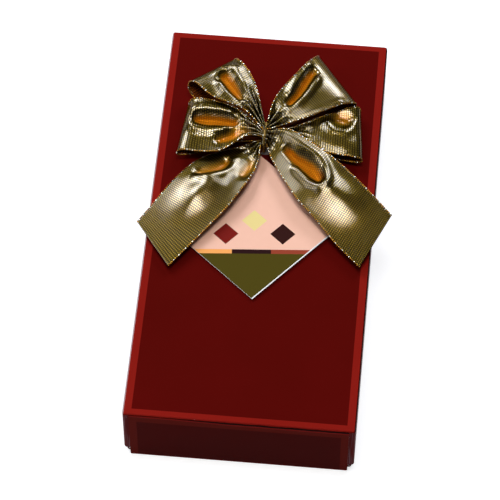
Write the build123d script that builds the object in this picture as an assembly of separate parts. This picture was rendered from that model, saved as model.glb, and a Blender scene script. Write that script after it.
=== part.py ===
from build123d import *
import math
import os

# Gift box of chocolates: a folded board base, a folded board lid that slides down over it, a
# formed tray with eighteen pralines, a cushion pad over them, and on the lid a label card and a
# bow of wired ribbon. Lengths are in millimetres. The origin is the centre of the base's
# underside, X runs across the box, Y along it towards its far end, and Z up.

os.makedirs("parts", exist_ok=True)

# Closed box
box_length = 186.2
box_width = 89.6
box_height = 29.5

# Board and the way that it is folded
board = 0.5
fold_radius = 0.8
corner_radius = 1.2
glue_film = 0.1
glue_margin = 1.5
tab_reach = 18.0
panel_inset = 2.5
mitre_drop = 3.5
panel_corner = 0.7
cut_overrun = 1.0

# Lid: its side walls and corner tabs stop short of the end panels, which end above the table
lid_side_lift = 4.0
lid_panel_lift = 0.2
lid_side_depth = box_height - lid_side_lift
lid_panel_depth = box_height - lid_panel_lift
fit_gap = 0.4

# Base: it ends under the lid's top
base_width = box_width - 2 * (board + fit_gap)
base_length = box_length - 2 * (2 * board + glue_film + fit_gap)
base_depth = box_height - board

# Cushion pad that lies on the tray, under the lid
pad_seat_gap = 0.3
pad_top_gap = 0.4
pad_thickness = 3.8
pad_margin = 1.0
pad_corner = 4.0
pad_edge_round = 1.2
pad_z = box_height - board - pad_top_gap - pad_thickness

# Tray: formed sheet that stands on the base's floor
tray_gauge = 0.4
tray_gap = 0.4
flange_z = pad_z - pad_seat_gap
tray_height = flange_z - board
tray_corner = 3.0
tray_rim = 2.5
tray_rib = 2.0
cavity_floor_z = 6.5
cavity_depth = flange_z - cavity_floor_z
cavity_corner = 5.0
cavity_draft = 7.0
tray_width = base_width - 2 * (board + tray_gap)
tray_length = base_length - 2 * (2 * board + glue_film + tray_gap)
column_names = ["left", "middle", "right"]
columns = len(column_names)
rows = 6
cavity_width = (tray_width - 2 * tray_rim - (columns - 1) * tray_rib) / columns
cavity_length = (tray_length - 2 * tray_rim - (rows - 1) * tray_rib) / rows

# Pralines
praline_gap = 0.4
praline_top_gap = 2.0
praline_height = cavity_depth - praline_top_gap
draft_loss = cavity_depth * math.tan(math.radians(cavity_draft))
praline_width = cavity_width - 2 * (draft_loss + praline_gap)
praline_length = cavity_length - 2 * (draft_loss + praline_gap)
praline_draft = 5.0
heart_draft = 10.0
praline_round = 2.0
ridge_width = 1.4
ridge_height = 0.8
stripe_turn = 30.0
heart_bulge_share = 1.3
log_arch_share = 0.8
nut_share = 0.42

# Label card on foam dots
label_side = 50.7
label_board = 0.4
label_turn = 49.5
label_x = -2.7
label_y = -1.2
foam_thickness = 0.6
foam_radius = 4.0
foam_inset = 12.0
label_top_z = box_height + foam_thickness + label_board

# Bow of wired ribbon, tied with a twisted cord
ribbon_width = 25.0
ribbon_gauge = 0.35
pleat_height = 1.2
ribbon_pleats = 4
ribbon_steps = 3
bow_x = -1.5
bow_gap = 3.75
bow_y = label_y + label_side / math.sqrt(2) + bow_gap
bow_z = label_top_z
cord_radius = 0.8
cord_side_gap = 0.1
bundle_width = 8.8
bundle_height = 6.4
bundle_lift = 1.0
bundle_round = 1.2
bundle_thickness = 2 * (cord_radius + cord_side_gap)
bow_dot_radius = 5.0

# Points on the two edges of each ribbon length, as shares of the ribbon's width, from the tie
# outwards. A loop runs out, folds over and comes back below to the tie; a tail ends in its cut.
# Each row holds the left edge's x, y, z and then the right edge's. A row whose x is zero
# starts or ends on the side of the gathered centre.
upper_left_shares = [
    (0, 0.168, 0.232, 0, 0.064, 0.232),
    (-0.11, 0.58, 0.38, -0.30, 0.36, 0.34),
    (-0.225, 0.92, 0.42, -0.60, 0.49, 0.38),
    (-0.375, 1.20, 0.40, -0.88, 0.61, 0.38),
    (-0.53, 1.39, 0.36, -1.17, 0.85, 0.38),
    (-0.60, 1.46, 0.24, -1.29, 0.92, 0.26),
    (-0.585, 1.41, 0.12, -1.26, 0.83, 0.12),
    (-0.45, 1.18, 0.08, -1.02, 0.63, 0.08),
    (-0.24, 0.70, 0.08, -0.46, 0.40, 0.08),
    (0, 0.168, 0.088, 0, 0.064, 0.088),
]
lower_left_shares = [
    (0, 0.040, 0.224, 0, -0.040, 0.224),
    (-0.32, 0.36, 0.26, -0.28, -0.05, 0.24),
    (-0.64, 0.52, 0.28, -0.64, -0.34, 0.22),
    (-0.96, 0.59, 0.29, -0.98, -0.39, 0.20),
    (-1.16, 0.60, 0.27, -1.25, -0.38, 0.20),
    (-1.25, 0.59, 0.18, -1.345, -0.39, 0.15),
    (-1.21, 0.56, 0.10, -1.31, -0.42, 0.10),
    (-0.88, 0.46, 0.09, -0.95, -0.32, 0.09),
    (-0.40, 0.20, 0.09, -0.40, -0.05, 0.09),
    (0, 0.040, 0.096, 0, -0.030, 0.096),
]
upper_right_shares = [
    (0, 0.172, 0.232, 0, 0.080, 0.232),
    (0.04, 0.50, 0.38, 0.34, 0.224, 0.30),
    (0.155, 0.785, 0.42, 0.62, 0.33, 0.35),
    (0.365, 1.10, 0.43, 0.92, 0.49, 0.37),
    (0.575, 1.45, 0.38, 1.22, 0.66, 0.36),
    (0.70, 1.65, 0.26, 1.375, 0.75, 0.26),
    (0.67, 1.57, 0.12, 1.32, 0.73, 0.14),
    (0.42, 1.16, 0.09, 0.96, 0.54, 0.12),
    (0.18, 0.62, 0.08, 0.48, 0.33, 0.10),
    (0, 0.172, 0.080, 0, 0.080, 0.080),
]
lower_right_shares = [
    (0, 0.060, 0.160, 0, -0.064, 0.160),
    (0.36, 0.21, 0.20, 0.32, 0.02, 0.16),
    (0.68, 0.355, 0.224, 0.66, -0.12, 0.16),
    (1.04, 0.54, 0.25, 1.04, -0.23, 0.17),
    (1.34, 0.69, 0.24, 1.40, -0.26, 0.17),
    (1.45, 0.71, 0.17, 1.535, -0.26, 0.13),
    (1.41, 0.67, 0.09, 1.49, -0.29, 0.07),
    (1.00, 0.43, 0.06, 1.04, -0.21, 0.06),
    (0.44, 0.176, 0.06, 0.44, -0.048, 0.06),
    (0, 0.060, 0.080, 0, -0.064, 0.080),
]
left_tail_shares = [
    (0, -0.064, 0.12, 0, -0.168, 0.12),
    (-0.32, -0.13, 0.035, -0.03, -0.43, 0.128),
    (-0.68, -0.26, 0.035, -0.11, -0.74, 0.168),
    (-1.04, -0.52, 0.088, -0.235, -1.04, 0.19),
    (-1.35, -0.96, 0.14, -0.47, -1.46, 0.18),
    (-1.63, -1.42, 0.104, -0.86, -2.00, 0.12),
    (-1.845, -1.78, 0.08, -1.27, -2.56, 0.064),
]
right_tail_shares = [
    (0, 0.056, 0.248, 0, -0.168, 0.248),
    (0.33, 0.10, 0.28, 0.10, -0.40, 0.18),
    (0.64, -0.09, 0.31, 0.32, -0.78, 0.184),
    (1.00, -0.33, 0.31, 0.58, -1.18, 0.20),
    (1.39, -0.66, 0.28, 0.88, -1.50, 0.17),
    (1.77, -1.02, 0.224, 1.27, -1.94, 0.112),
    (2.10, -1.37, 0.20, 1.66, -2.32, 0.088),
]


def panel_outline(width, depth):
    """End panel seen from outside, hanging down from its fold at zero."""
    half = width / 2
    inner = half - panel_inset
    outline = make_face(Polyline(
        (-half, 0), (half, 0), (inner, -mitre_drop), (inner, -depth),
        (-inner, -depth), (-inner, -mitre_drop), close=True))
    return fillet(outline.vertices().group_by(Axis.Y)[0], panel_corner)


def end_panel(width, length, depth):
    """Panel at the near end, glued over the tabs."""
    plate = extrude(Plane.XZ * panel_outline(width, depth), amount=board)
    return Pos(0, board - length / 2, 0) * plate


def corner_cut(width, length, depth):
    """Space beside both edges of the near panel, outside the tabs."""
    slab = Box(width + 2 * cut_overrun, board + glue_film + cut_overrun, depth + 2 * cut_overrun,
               align=(Align.CENTER, Align.MAX, Align.CENTER))
    slab = Pos(0, board + glue_film - length / 2, -depth / 2) * slab
    keep_outline = panel_outline(width, depth + 2 * cut_overrun)
    keep = extrude(Plane.XZ * keep_outline, amount=board + glue_film + 2 * cut_overrun)
    above = Box(width, board + glue_film + 2 * cut_overrun, 2 * cut_overrun,
                align=(Align.CENTER, Align.MAX, Align.MIN))
    keep = Pos(0, board + glue_film + cut_overrun - length / 2, 0) * (keep + above)
    return slab - keep


def wall_ring(width, length, depth):
    """Side walls with their tabs folded round all four corners."""
    block = extrude(RectangleRounded(width, length, corner_radius), amount=-depth)
    block = fillet(block.faces().sort_by(Axis.Z)[-1].edges(), fold_radius)
    room = extrude(RectangleRounded(width - 2 * board, length - 2 * board, corner_radius - board),
                   amount=-depth)
    gap = Box(width - 2 * tab_reach, length + 2 * cut_overrun, depth + cut_overrun,
              align=(Align.CENTER, Align.CENTER, Align.MAX))
    return block - room - gap


def folded_cap(width, length, side_depth, panel_depth):
    """Open board cap folded from one blank: its top at zero, its walls hanging down."""
    top = Box(width, length, board, align=(Align.CENTER, Align.CENTER, Align.MAX))
    near = end_panel(width, length, panel_depth)
    near_cut = corner_cut(width, length, panel_depth)
    turned = Rot(0, 0, 180)
    envelope = Box(width, length, panel_depth, align=(Align.CENTER, Align.CENTER, Align.MAX))
    envelope = fillet(envelope.edges().filter_by(Axis.Z), corner_radius)
    envelope = fillet(envelope.faces().sort_by(Axis.Z)[-1].edges(), fold_radius)
    ring = wall_ring(width, length - 2 * (board + glue_film), side_depth)
    cap = (top + near + turned * near) & envelope
    return cap + ring - near_cut - turned * near_cut


def glue_strips(width, length, side_depth):
    """Four dry glue films between the tabs and the end panels."""
    strip_width = tab_reach - panel_inset - 2 * glue_margin
    strip_height = side_depth - mitre_drop - 2 * glue_margin
    x = width / 2 - panel_inset - glue_margin - strip_width / 2
    y = length / 2 - board - glue_film / 2
    z = -mitre_drop - glue_margin - strip_height / 2
    strip = Box(strip_width, glue_film, strip_height)
    return [Pos(side * x, end * y, z) * strip for side in (-1, 1) for end in (-1, 1)]


def make_lid():
    lid = folded_cap(box_width, box_length, lid_side_depth, lid_panel_depth)
    return Pos(0, 0, box_height) * lid


def make_lid_glue():
    strips = glue_strips(box_width, box_length, lid_side_depth)
    return [Pos(0, 0, box_height) * strip for strip in strips]


def make_base():
    return Rot(180, 0, 0) * folded_cap(base_width, base_length, base_depth, base_depth)


def make_base_glue():
    strips = glue_strips(base_width, base_length, base_depth)
    return [Rot(180, 0, 0) * strip for strip in strips]


def cavity_places():
    """Centre of each cavity, row by row from the near end."""
    pitch_x = cavity_width + tray_rib
    pitch_y = cavity_length + tray_rib
    return [((column - (columns - 1) / 2) * pitch_x, (row - (rows - 1) / 2) * pitch_y)
            for row in range(rows) for column in range(columns)]


def draughted_block(width, length, corner, depth, draft):
    """Rounded block that hangs from zero and narrows downwards."""
    return Rot(180, 0, 0) * extrude(RectangleRounded(width, length, corner), amount=depth, taper=draft)


def make_tray():
    outer = RectangleRounded(tray_width, tray_length, tray_corner)
    inner = RectangleRounded(tray_width - 2 * tray_gauge, tray_length - 2 * tray_gauge,
                             tray_corner - tray_gauge)
    skirt = extrude(outer - inner, amount=-tray_height)
    flange = extrude(outer, amount=-tray_gauge)
    cup = draughted_block(cavity_width + 2 * tray_gauge, cavity_length + 2 * tray_gauge,
                          cavity_corner + tray_gauge, cavity_depth + tray_gauge, cavity_draft)
    hollow = draughted_block(cavity_width, cavity_length, cavity_corner, cavity_depth, cavity_draft)
    places = cavity_places()
    tray = skirt + flange + [Pos(x, y, 0) * cup for x, y in places]
    tray = tray - [Pos(x, y, 0) * hollow for x, y in places]
    return Pos(0, 0, flange_z) * tray


def square_praline():
    """Bevelled square with two crossing ridges."""
    side = praline_width
    body = extrude(RectangleRounded(side, side, praline_round), amount=praline_height - ridge_height,
                   taper=praline_draft)
    top = body.faces().sort_by(Axis.Z)[-1]
    body = fillet(top.edges(), praline_round)
    reach = side - 2 * praline_round - 2 * draft_of(praline_height)
    ridge = Box(reach, ridge_width, 2 * ridge_height)
    ridges = Rot(0, 0, 45) * ridge + Rot(0, 0, -45) * ridge
    return body + Pos(0, 0, praline_height - ridge_height) * ridges


def draft_of(height):
    """How far a praline's wall comes in over a height."""
    return height * math.tan(math.radians(praline_draft))


def dome_praline():
    """Round dome on a short straight foot."""
    radius = praline_width / 2
    foot = praline_height - radius
    standing = (Align.CENTER, Align.CENTER, Align.MIN)
    dome = Sphere(radius, arc_size1=0, align=standing)
    return Cylinder(radius, foot, align=standing) + Pos(0, 0, foot) * dome


def oval_praline():
    """Oval button with three raised stripes."""
    body = extrude(Ellipse(praline_width / 2, praline_length / 2), amount=praline_height - ridge_height,
                   taper=praline_draft)
    body = fillet(body.faces().sort_by(Axis.Z)[-1].edges(), praline_round)
    reach = praline_width / 2
    stripe = Box(reach, ridge_width, 2 * ridge_height)
    pitch = praline_length / 5
    stripes = [Pos(0, step * pitch, praline_height - ridge_height) * Rot(0, 0, stripe_turn) * stripe
               for step in (-1, 0, 1)]
    return body + stripes


def heart_praline():
    """Heart whose walls lean in."""
    lobe = praline_width / 4
    centre_y = praline_length / 2 - lobe
    point_y = -praline_length / 2
    reach = 2 * lobe
    bulge_x = heart_bulge_share * lobe
    bulge_y = (centre_y + point_y) / 2 - lobe / 4
    outline = make_face([
        ThreePointArc((0, centre_y), (-lobe, centre_y + lobe), (-reach, centre_y)),
        ThreePointArc((-reach, centre_y), (-bulge_x, bulge_y), (0, point_y)),
        ThreePointArc((0, point_y), (bulge_x, bulge_y), (reach, centre_y)),
        ThreePointArc((reach, centre_y), (lobe, centre_y + lobe), (0, centre_y))])
    return extrude(outline, amount=praline_height, taper=heart_draft)


def log_praline():
    """Half-round log with cross grooves."""
    half = praline_width / 2
    shoulder = praline_height - half * log_arch_share
    profile = make_face([
        Line((-half, 0), (half, 0)), Line((half, 0), (half, shoulder)),
        ThreePointArc((half, shoulder), (0, praline_height), (-half, shoulder)),
        Line((-half, shoulder), (-half, 0))])
    body = extrude(Plane.XZ * profile, amount=praline_length / 2, both=True)
    pitch = praline_length / 5
    groove = Box(2 * praline_width, ridge_width, 2 * ridge_height)
    grooves = [Pos(0, step * pitch, praline_height) * groove for step in (-1.5, -0.5, 0.5, 1.5)]
    keep = extrude(RectangleRounded(praline_width, praline_length, cavity_corner), amount=praline_height)
    return (body - grooves) & keep


def hexagon_praline():
    """Six-sided frustum with a nut on top."""
    radius = praline_width / 2
    nut_radius = radius * nut_share
    body_height = praline_height - nut_radius
    body = extrude(RegularPolygon(radius, 6), amount=body_height, taper=heart_draft)
    return body + Pos(0, 0, body_height) * Sphere(nut_radius)


def make_pralines():
    """One kind in each row, under names that say the kind and the column."""
    kinds = [
        ("square_praline", square_praline), ("dome_praline", dome_praline),
        ("oval_praline", oval_praline), ("heart_praline", heart_praline),
        ("log_praline", log_praline), ("hexagon_praline", hexagon_praline)]
    pralines = {}
    for number, (x, y) in enumerate(cavity_places()):
        kind, shape = kinds[number // columns % len(kinds)]
        name = kind + "_" + column_names[number % columns]
        pralines[name] = Pos(x, y, cavity_floor_z) * shape()
    return pralines


def make_pad():
    """Cushion pad with rounded edges, as large as the tray less a margin."""
    pad = extrude(RectangleRounded(tray_width - 2 * pad_margin, tray_length - 2 * pad_margin, pad_corner),
                  amount=pad_thickness)
    rims = pad.faces().sort_by(Axis.Z)[-1].edges() + pad.faces().sort_by(Axis.Z)[0].edges()
    return Pos(0, 0, pad_z) * fillet(rims, pad_edge_round)


def make_label():
    card = Box(label_side, label_side, label_board, align=(Align.CENTER, Align.CENTER, Align.MAX))
    return Pos(label_x, label_y, label_top_z) * Rot(0, 0, label_turn) * card


def make_label_foam():
    """Foam dots near the card's corners."""
    reach = label_side / 2 - foam_inset
    dot = Cylinder(foam_radius, foam_thickness, align=(Align.CENTER, Align.CENTER, Align.MIN))
    turned = Pos(label_x, label_y, box_height) * Rot(0, 0, label_turn)
    return [turned * Pos(x * reach, y * reach, 0) * dot for x in (-1, 1) for y in (-1, 1)]


def ribbon_point(share_x, share_y, share_z, side):
    """Place of a share on a ribbon; side is -1 or 1, the side of the tie that it leaves from."""
    x = bow_x + side * bundle_thickness / 2 + share_x * ribbon_width
    return Vector(x, bow_y + share_y * ribbon_width, bow_z + share_z * ribbon_width)


def catmull_rom(before, start, end, after, share):
    """Value at a share of the way from start to end on a smooth curve through all four."""
    linear = (end - before) * share
    square = (2 * before - 5 * start + 4 * end - after) * share ** 2
    cube = (3 * start - before - 3 * end + after) * share ** 3
    return start + (linear + square + cube) / 2


def smooth_rows(shares):
    """The given rows, with others between them on smooth curves."""
    rows = []
    last = len(shares) - 1
    for number in range(last):
        near = [shares[min(max(number + step, 0), last)] for step in (-1, 0, 1, 2)]
        for part in range(ribbon_steps):
            rows.append([catmull_rom(*values, part / ribbon_steps) for values in zip(*near)])
    return rows + [shares[-1]]


def ribbon_section(left, right, normal):
    """Points round a cut across the ribbon, pleated where its edges are drawn together."""
    across = right - left
    drawn = max(0, 1 - across.length / ribbon_width)
    upper, lower = [], []
    for step in range(ribbon_pleats + 1):
        sway = pleat_height / 2 * drawn * (1 if step % 2 else -1)
        middle = left + across * (step / ribbon_pleats)
        upper.append(middle + normal * (sway + ribbon_gauge / 2))
        lower.append(middle + normal * (sway - ribbon_gauge / 2))
    return upper + lower[::-1]


def ribbon_solid(sections):
    """Closed solid of ruled faces from each section to the next."""
    faces = [Face(Wire.make_polygon(points)) for points in (sections[0], sections[-1])]
    for first, second in zip(sections, sections[1:]):
        for here in range(len(first)):
            faces.append(Face.make_surface_from_curves(
                Edge.make_line(first[here - 1], first[here]),
                Edge.make_line(second[here - 1], second[here])))
    return Solid(Shell(faces))


def ribbon_length(shares, side):
    """Thin solid along one loop or tail; side is that of the tie that it leaves from."""
    rows = smooth_rows(shares)
    edges = [(ribbon_point(*row[:3], side), ribbon_point(*row[3:], side)) for row in rows]
    middles = [(left + right) / 2 for left, right in edges]
    sections = []
    for number, (left, right) in enumerate(edges):
        before = middles[max(number - 1, 0)]
        after = middles[min(number + 1, len(middles) - 1)]
        along = after - before
        if rows[number][0] == 0:
            along = Vector(side, 0, 0) * (1 if number == 0 else -1)
        normal = along.cross(right - left).normalized()
        sections.append(ribbon_section(left, right, normal))
    return ribbon_solid(sections)


def make_bow():
    return {
        "upper_left_loop": ribbon_length(upper_left_shares, -1),
        "lower_left_loop": ribbon_length(lower_left_shares, -1),
        "upper_right_loop": ribbon_length(upper_right_shares, 1),
        "lower_right_loop": ribbon_length(lower_right_shares, 1),
        "left_tail": ribbon_length(left_tail_shares, -1),
        "right_tail": ribbon_length(right_tail_shares, 1),
    }


def bundle_outline(offset):
    """Cross-section of the gathered centre, grown by an offset."""
    return RectangleRounded(bundle_width + 2 * offset, bundle_height + 2 * offset, bundle_round + offset)


def make_bundle():
    """Ribbon gathered in the middle of the bow."""
    body = extrude(Plane.YZ * bundle_outline(0), amount=bundle_thickness / 2, both=True)
    return Pos(bow_x, bow_y, bow_z + bundle_lift + bundle_height / 2) * body


def make_tie_cord():
    """Cord wound round the gathered centre."""
    path = Plane.YZ * bundle_outline(cord_radius).wire()
    start = path @ 0
    section = Plane(origin=start, z_dir=path % 0) * Circle(cord_radius)
    cord = sweep(section, path=path)
    return Pos(bow_x, bow_y, bow_z + bundle_lift + bundle_height / 2) * cord


def make_bow_dot():
    """Adhesive dot that holds the tied centre on the lid."""
    thickness = bow_z + bundle_lift - 2 * cord_radius - box_height
    dot = Cylinder(bow_dot_radius, thickness, align=(Align.CENTER, Align.CENTER, Align.MIN))
    return Pos(bow_x, bow_y, box_height) * dot


def make_all():
    nodes = {
        "base": make_base(),
        "base_corner_glue": make_base_glue(),
        "tray": make_tray(),
        "cushion_pad": make_pad(),
        "lid": make_lid(),
        "lid_corner_glue": make_lid_glue(),
        "label_card": make_label(),
        "label_foam_dots": make_label_foam(),
        "gathered_centre": make_bundle(),
        "tie_cord": make_tie_cord(),
        "bow_adhesive_dot": make_bow_dot(),
    }
    nodes.update(make_pralines())
    nodes.update(make_bow())
    return nodes


for node, shape in make_all().items():
    solids = shape if isinstance(shape, list) else [shape]
    export_step(Compound([solid for item in solids for solid in item.solids()]), f"parts/{node}.step")
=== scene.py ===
import math
from types import SimpleNamespace

import bmesh
import bpy
import numpy
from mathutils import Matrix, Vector


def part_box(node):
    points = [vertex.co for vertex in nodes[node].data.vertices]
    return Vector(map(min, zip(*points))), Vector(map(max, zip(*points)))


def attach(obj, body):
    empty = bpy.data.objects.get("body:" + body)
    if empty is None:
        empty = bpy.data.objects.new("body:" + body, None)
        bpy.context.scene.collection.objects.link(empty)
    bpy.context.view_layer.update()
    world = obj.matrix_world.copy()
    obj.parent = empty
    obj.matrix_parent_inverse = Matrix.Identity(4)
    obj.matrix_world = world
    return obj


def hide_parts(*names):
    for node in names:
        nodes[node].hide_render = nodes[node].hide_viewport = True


# Gift box of chocolates with a label card and a bow of gold wired ribbon on its lid. Lengths are
# in metres, colours are sRGB hex values, and angles are in degrees.

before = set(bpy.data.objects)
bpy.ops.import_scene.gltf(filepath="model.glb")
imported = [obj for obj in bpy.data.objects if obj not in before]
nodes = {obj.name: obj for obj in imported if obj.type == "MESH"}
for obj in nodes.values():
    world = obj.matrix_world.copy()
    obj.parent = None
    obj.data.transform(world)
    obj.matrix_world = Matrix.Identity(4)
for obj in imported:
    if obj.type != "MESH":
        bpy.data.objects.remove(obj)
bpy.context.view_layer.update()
bpy.ops.object.select_all(action="DESELECT")
bpy.context.scene.view_settings.view_transform = "Standard"

# Camera and light. Each lamp has its place, its size, the level that its face shows and its colour.
camera_place = (0.0557, -0.6663, 1.0034)
camera_turn = (33.84, 2.86, 4.36)
camera_lens = 213.5
room_size = 6.0
lamp_aim = (0, 0.02, 0.02)
plain, cool = (1.0, 1.0, 1.0), (0.90, 0.98, 1.18)
lamps = {
    "overhead_softbox": ((0.0, -0.10, 1.50), (0.56, 0.38), 14.5, plain),
    "left_back_softbox": ((-0.71, 0.95, 1.00), (0.58, 0.58), 11.5, cool),
    "right_back_softbox": ((0.43, 1.22, 0.85), (0.46, 0.50), 12.0, cool),
    "left_strip": ((-1.1, -0.1, 0.62), (0.16, 1.0), 7.0, plain),
    "front_strip": ((0.1, -1.5, 0.45), (1.4, 0.12), 2.0, plain),
}
# Grey of the studio walls, from level to straight up. They darken from left to right.
wall_stops = ((0.0, 0.30), (0.20, 0.16), (0.40, 0.03), (0.62, 0.03), (0.78, 0.055), (0.86, 0.055),
              (1.0, 0.03))
darkening_start, darkening_end = -0.3, 0.7
far_wall_share = 0.35
floor_albedo = "#bcbcbc"
floor_glow = 0.75

# Lid, read from the frame, and the borders, lines and creases that the lid and the base both have
lid_low, lid_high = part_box("lid")
lid_top = lid_high.z
board = 0.0005
fold_radius = 0.0008
upright_start = 0.6 * fold_radius
panel_inset = 0.0025
side_border = 0.0034
end_border = 0.0029
panel_side_border = 0.0030
panel_top_border = 0.0048
print_blur = 0.00006
# Painted shade and painted highlights at the folds: the crease shade on the ends, the highlight below it
# and along the rim, and the pale and dark lines on the side folds
crease_start = 0.0003
crease_blur = 0.0002
crease_wander = 0.0006
crease_end_left = 0.0007
crease_end_right = 0.0015
shade_widening_start_share, shade_widening_end_share = -0.6, -0.1
highlight_line_width = 0.0007
fold_line_width = 0.0005
rim_highlight_width = 0.0004
rub_reach, rub_full = 0.00045, 0.00015

# Shares of the board's thickness that tell its faces apart: in the outer skin, just short of one
# board deep, and just past it
skin_share, short_share, past_share = 0.4, 0.9, 1.05
# A face looks along an axis where its normal has more than this share of it
facing_share = 0.5

# Label card, in the frame of its own printing
label_low, label_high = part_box("label_card")
label_centre = (label_low + label_high) / 2
label_top = label_high.z
print_turn = 4.5
card_side = 0.0507
card_turn = 49.5
bare_right = 0.00045
bare_left = 0.00005
stripe_top = -0.0125
stripe_bottom = -0.0145
stripe_left_end = -0.0083
stripe_right_start = 0.0072
lozenge_size = 0.0050
lozenge_places = ((-0.0108, -0.0050), (0.0005, 0.0014), (0.0118, -0.0050))
lozenge_colours = ("#7a1a12", "#ecd58a", "#33140f")

# Bow of wired ribbon. The real threads are about 0.4 mm apart, and are drawn coarser here, so that
# the weave shows in the render.
ribbon_width = 0.025
ribbon_gauge = 0.00022
bow_x, bow_y, bow_z = -0.0015, 0.0384, label_top
bundle_low, bundle_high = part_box("gathered_centre")
bundle_centre = (bundle_low + bundle_high) / 2
bundle_half = (bundle_high.x - bundle_low.x) / 2
thread_pitch = 0.00098
warp_pitch = 0.00084
thread_relief = 0.000011
bead_pitch = 0.0010
edge_radius = 0.00027
edge_swell = 0.00010
# How deep the cloth sinks before its colour turns to the painted amber glow of a hollow, how much deeper
# until the glow is full, and how much the pleats count towards it
hollow_start = 0.0002
hollow_depth = 0.0017
hollow_pleat_share = 0.3
# Film colour and its deeper shade, gaps between threads, the painted amber glow of light bounced between
# the folds in a hollow and its painted shade where the hollow is deepest, and the share of the yarn that
# the film covers
front_finish = ("#b08e22", "#826814", "#14140a", "#f6a012", "#c86a0c", 1.0)
reverse_finish = ("#b05a1c", "#93420f", "#2c1406", "#b05a1c", "#8a3a10", 0.35)

# Ribbon meshes
across_steps = 48
row_steps = 18
edge_sides = 6
edge_rings_per_bead = 4
fold_parts = 10
fold_smoothing = 6
loop_back_row = 7
# A direction that no edging runs along
edging_rise = (0.1, 0.2, 1)

# Pleats: how drawn in a row is falls with its width, and a pleat's height has a limit, which grows
# a little with the width. Folds come up once a row is wide enough.
pleat_count = 3
drawn_most, drawn_fall = 1.1, 1.9
pleat_limit, pleat_growth = 0.0014, 0.05
fold_growth, fold_delay = 2.0, 0.3

# Cord that ties the bow
strand_radius = 0.00038
strand_offset = 0.00030
strand_clearance = 1.7 * strand_radius
strand_twists = 13
strand_sides = 8
strand_rings = 260
ring_power = 4.5
ring_length = 0.032
ring_step = 0.02

# Gathered centre inside the cord: its pleats, and how far it is drawn in under the cord
centre_steps, centre_slices = 120, 5
centre_pleats = 15
centre_share, centre_pleat_share = 0.94, 0.05

# Cushion pad
pad_low, pad_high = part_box("cushion_pad")
pad_cell = 0.0118
pad_channel = 0.0016
pad_channel_share = 0.45
pad_rim = 0.004
pad_core_share = 0.3
pad_steps_x = 84
pad_steps_y = 180
merge_distance = 0.00001

# Patterns of the materials: the size of one cloud, grain, crease or thread. Fibres, filaments and
# specks are far finer on the real object, and are drawn as coarse as they need to show.
ink_cloud = 0.0263
crease_notch = 0.00588
streak_width, streak_length = 0.000385, 0.0167
rub_grain, rub_patch = 0.00238, 0.0222
board_fibre = 0.00111
film_wave = 0.00385
card_grain = 0.00333
slub_length, slub_width = 0.0104, 1.25 * thread_pitch
filament_width, filament_length = 0.000167, 0.000417
bloom_cloud, chocolate_speck = 0.00714, 0.00111
mould_wave = 0.0111
crepe_width, crepe_length = 0.000667, 0.00238
glue_ripple = 0.002
foam_cell = 0.000385


def linear(colour):
    """Turns an sRGB hex colour into linear RGBA."""
    shares = [int(colour[at:at + 2], 16) / 255 for at in (1, 3, 5)]
    return [s / 12.92 if s <= 0.04045 else ((s + 0.055) / 1.055) ** 2.4 for s in shares] + [1]


def add(tree, kind, sockets=None, **settings):
    """Adds a node. Each socket named or numbered gets a value, or a link from a node or an output.
    A Map Range has its value on 0, the range that it comes from on 1 and 2, and the one that it goes
    to on 3 and 4. A Mix has its share on 0, and numbers on 2 and 3 or colours on 6 and 7."""
    node = tree.nodes.new("ShaderNode" + kind)
    if kind == "Mix" and 6 in sockets:
        node.data_type = "RGBA"
    for name, value in settings.items():
        setattr(node, name, value)
    for name, value in (sockets or {}).items():
        if isinstance(value, bpy.types.Node):
            value = next(output for output in value.outputs if output.enabled)
        if isinstance(value, bpy.types.NodeSocket):
            tree.links.new(value, node.inputs[name])
        else:
            node.inputs[name].default_value = value
    return node


def new_material(name, **sockets):
    """A material with its Principled shader set; returns the material, its tree and the shader."""
    made = bpy.data.materials.new(name)
    made.use_nodes = True
    tree = made.node_tree
    shader = tree.nodes["Principled BSDF"]
    for socket, value in sockets.items():
        shader.inputs[socket.replace("_", " ")].default_value = value
    return made, tree, shader


def dress(objects, material):
    """Gives objects one material."""
    for piece in objects:
        piece.data.materials.clear()
        piece.data.materials.append(material)


# Materials

def find_spot(tree, top, half_width, half_length, outside_up):
    """Where a point of a board shell lies: its place, its depth from the closed face, how far it is
    from the sides and the ends, and the faces that it is on."""
    place = add(tree, "TexCoord").outputs["Object"]
    xyz = add(tree, "SeparateXYZ", {0: place})
    across = add(tree, "Math", {0: xyz.outputs["X"]}, operation="ABSOLUTE")
    along = add(tree, "Math", {0: xyz.outputs["Y"]}, operation="ABSOLUTE")
    levels = {0: top, 1: xyz.outputs["Z"]} if outside_up else {0: xyz.outputs["Z"], 1: top}
    depth = add(tree, "Math", levels, operation="SUBTRACT")
    upright = add(tree, "Math", {0: depth, 1: upright_start}, operation="GREATER_THAN")
    end_start = half_length - board - fold_radius
    at_end = add(tree, "Math", {0: along, 1: end_start}, operation="GREATER_THAN")
    over_end = add(tree, "MapRange", {
        0: along, 1: half_length - board, 2: half_length - board * skin_share})
    side_edge = add(tree, "Math", {0: half_width, 1: across}, operation="SUBTRACT")
    end_edge = add(tree, "Math", {0: half_length, 1: along}, operation="SUBTRACT")
    return SimpleNamespace(
        place=place, x=xyz.outputs["X"], across=across, along=along, depth=depth, upright=upright,
        at_end=at_end, over_end=over_end, side_edge=side_edge, end_edge=end_edge,
        half_width=half_width, half_length=half_length)


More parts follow.
